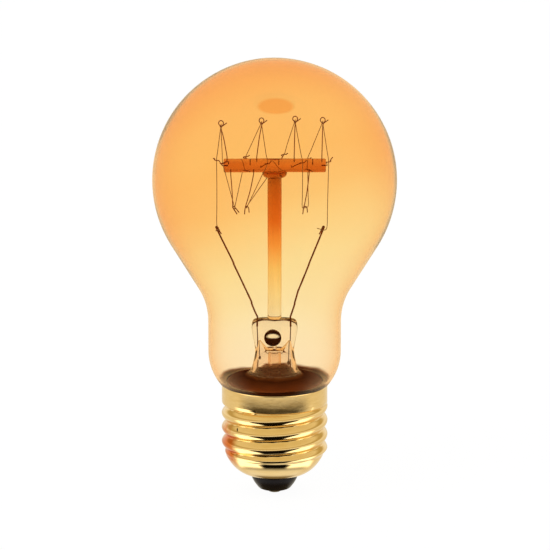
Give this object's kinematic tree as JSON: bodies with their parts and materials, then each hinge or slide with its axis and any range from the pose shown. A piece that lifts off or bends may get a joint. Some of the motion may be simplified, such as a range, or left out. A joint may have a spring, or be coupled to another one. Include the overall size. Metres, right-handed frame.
{
  "type": "filament bulb",
  "caption": "Clear amber glass lamp with a zigzag wire filament on a glass crossbar, carried by a glass stem, and a brass screw cap with a centre contact.",
  "frame": {"origin": "tip of the centre contact, on the lamp's axis", "axes": "+Z along the lamp's axis from the contact to the top of the globe; +X along the crossbar, to the right as seen from the front; -Y is the front"},
  "size_m": [0.06, 0.06, 0.1094],
  "materials": {
    "bulb_glass": "clear amber, polished",
    "stem_glass": "clear, polished",
    "rod_glass": "clear, polished",
    "hook_wire": "dull drawn wire",
    "filament_wire": "dull fine wire",
    "lead_wire": "dull drawn wire",
    "copper_wire": "drawn copper",
    "cap_brass": "rolled, bright",
    "black_glass": "opaque, glossy",
    "cement": "matte baked cement",
    "solder": "dull, smooth"
  },
  "bodies": {
    "root": {"glass_envelope": "bulb_glass", "stem_flare": "stem_glass", "exhaust_tube": "stem_glass", "arbor_rod": "rod_glass", "arbor_button": "rod_glass", "crossbar": "rod_glass", "top_hook_1": "hook_wire", "top_hook_2": "hook_wire", "top_hook_3": "hook_wire", "top_hook_4": "hook_wire", "bottom_hook_1": "hook_wire", "bottom_hook_2": "hook_wire", "bottom_hook_3": "hook_wire", "front_hook_1": "hook_wire", "front_hook_2": "hook_wire", "front_hook_3": "hook_wire", "back_hook_1": "hook_wire", "back_hook_2": "hook_wire", "back_hook_3": "hook_wire", "left_end_hook": "hook_wire", "right_end_hook": "hook_wire", "filament": "filament_wire", "inner_lead_left": "lead_wire", "inner_lead_right": "lead_wire", "seal_wire_left": "copper_wire", "seal_wire_right": "copper_wire", "contact_lead": "copper_wire", "shell_lead": "copper_wire", "capping_cement": "cement", "screw_shell": "cap_brass", "side_weld": "solder", "insulator": "black_glass", "contact_plate": "cap_brass", "contact_solder": "solder"}
  },
  "joints": []
}
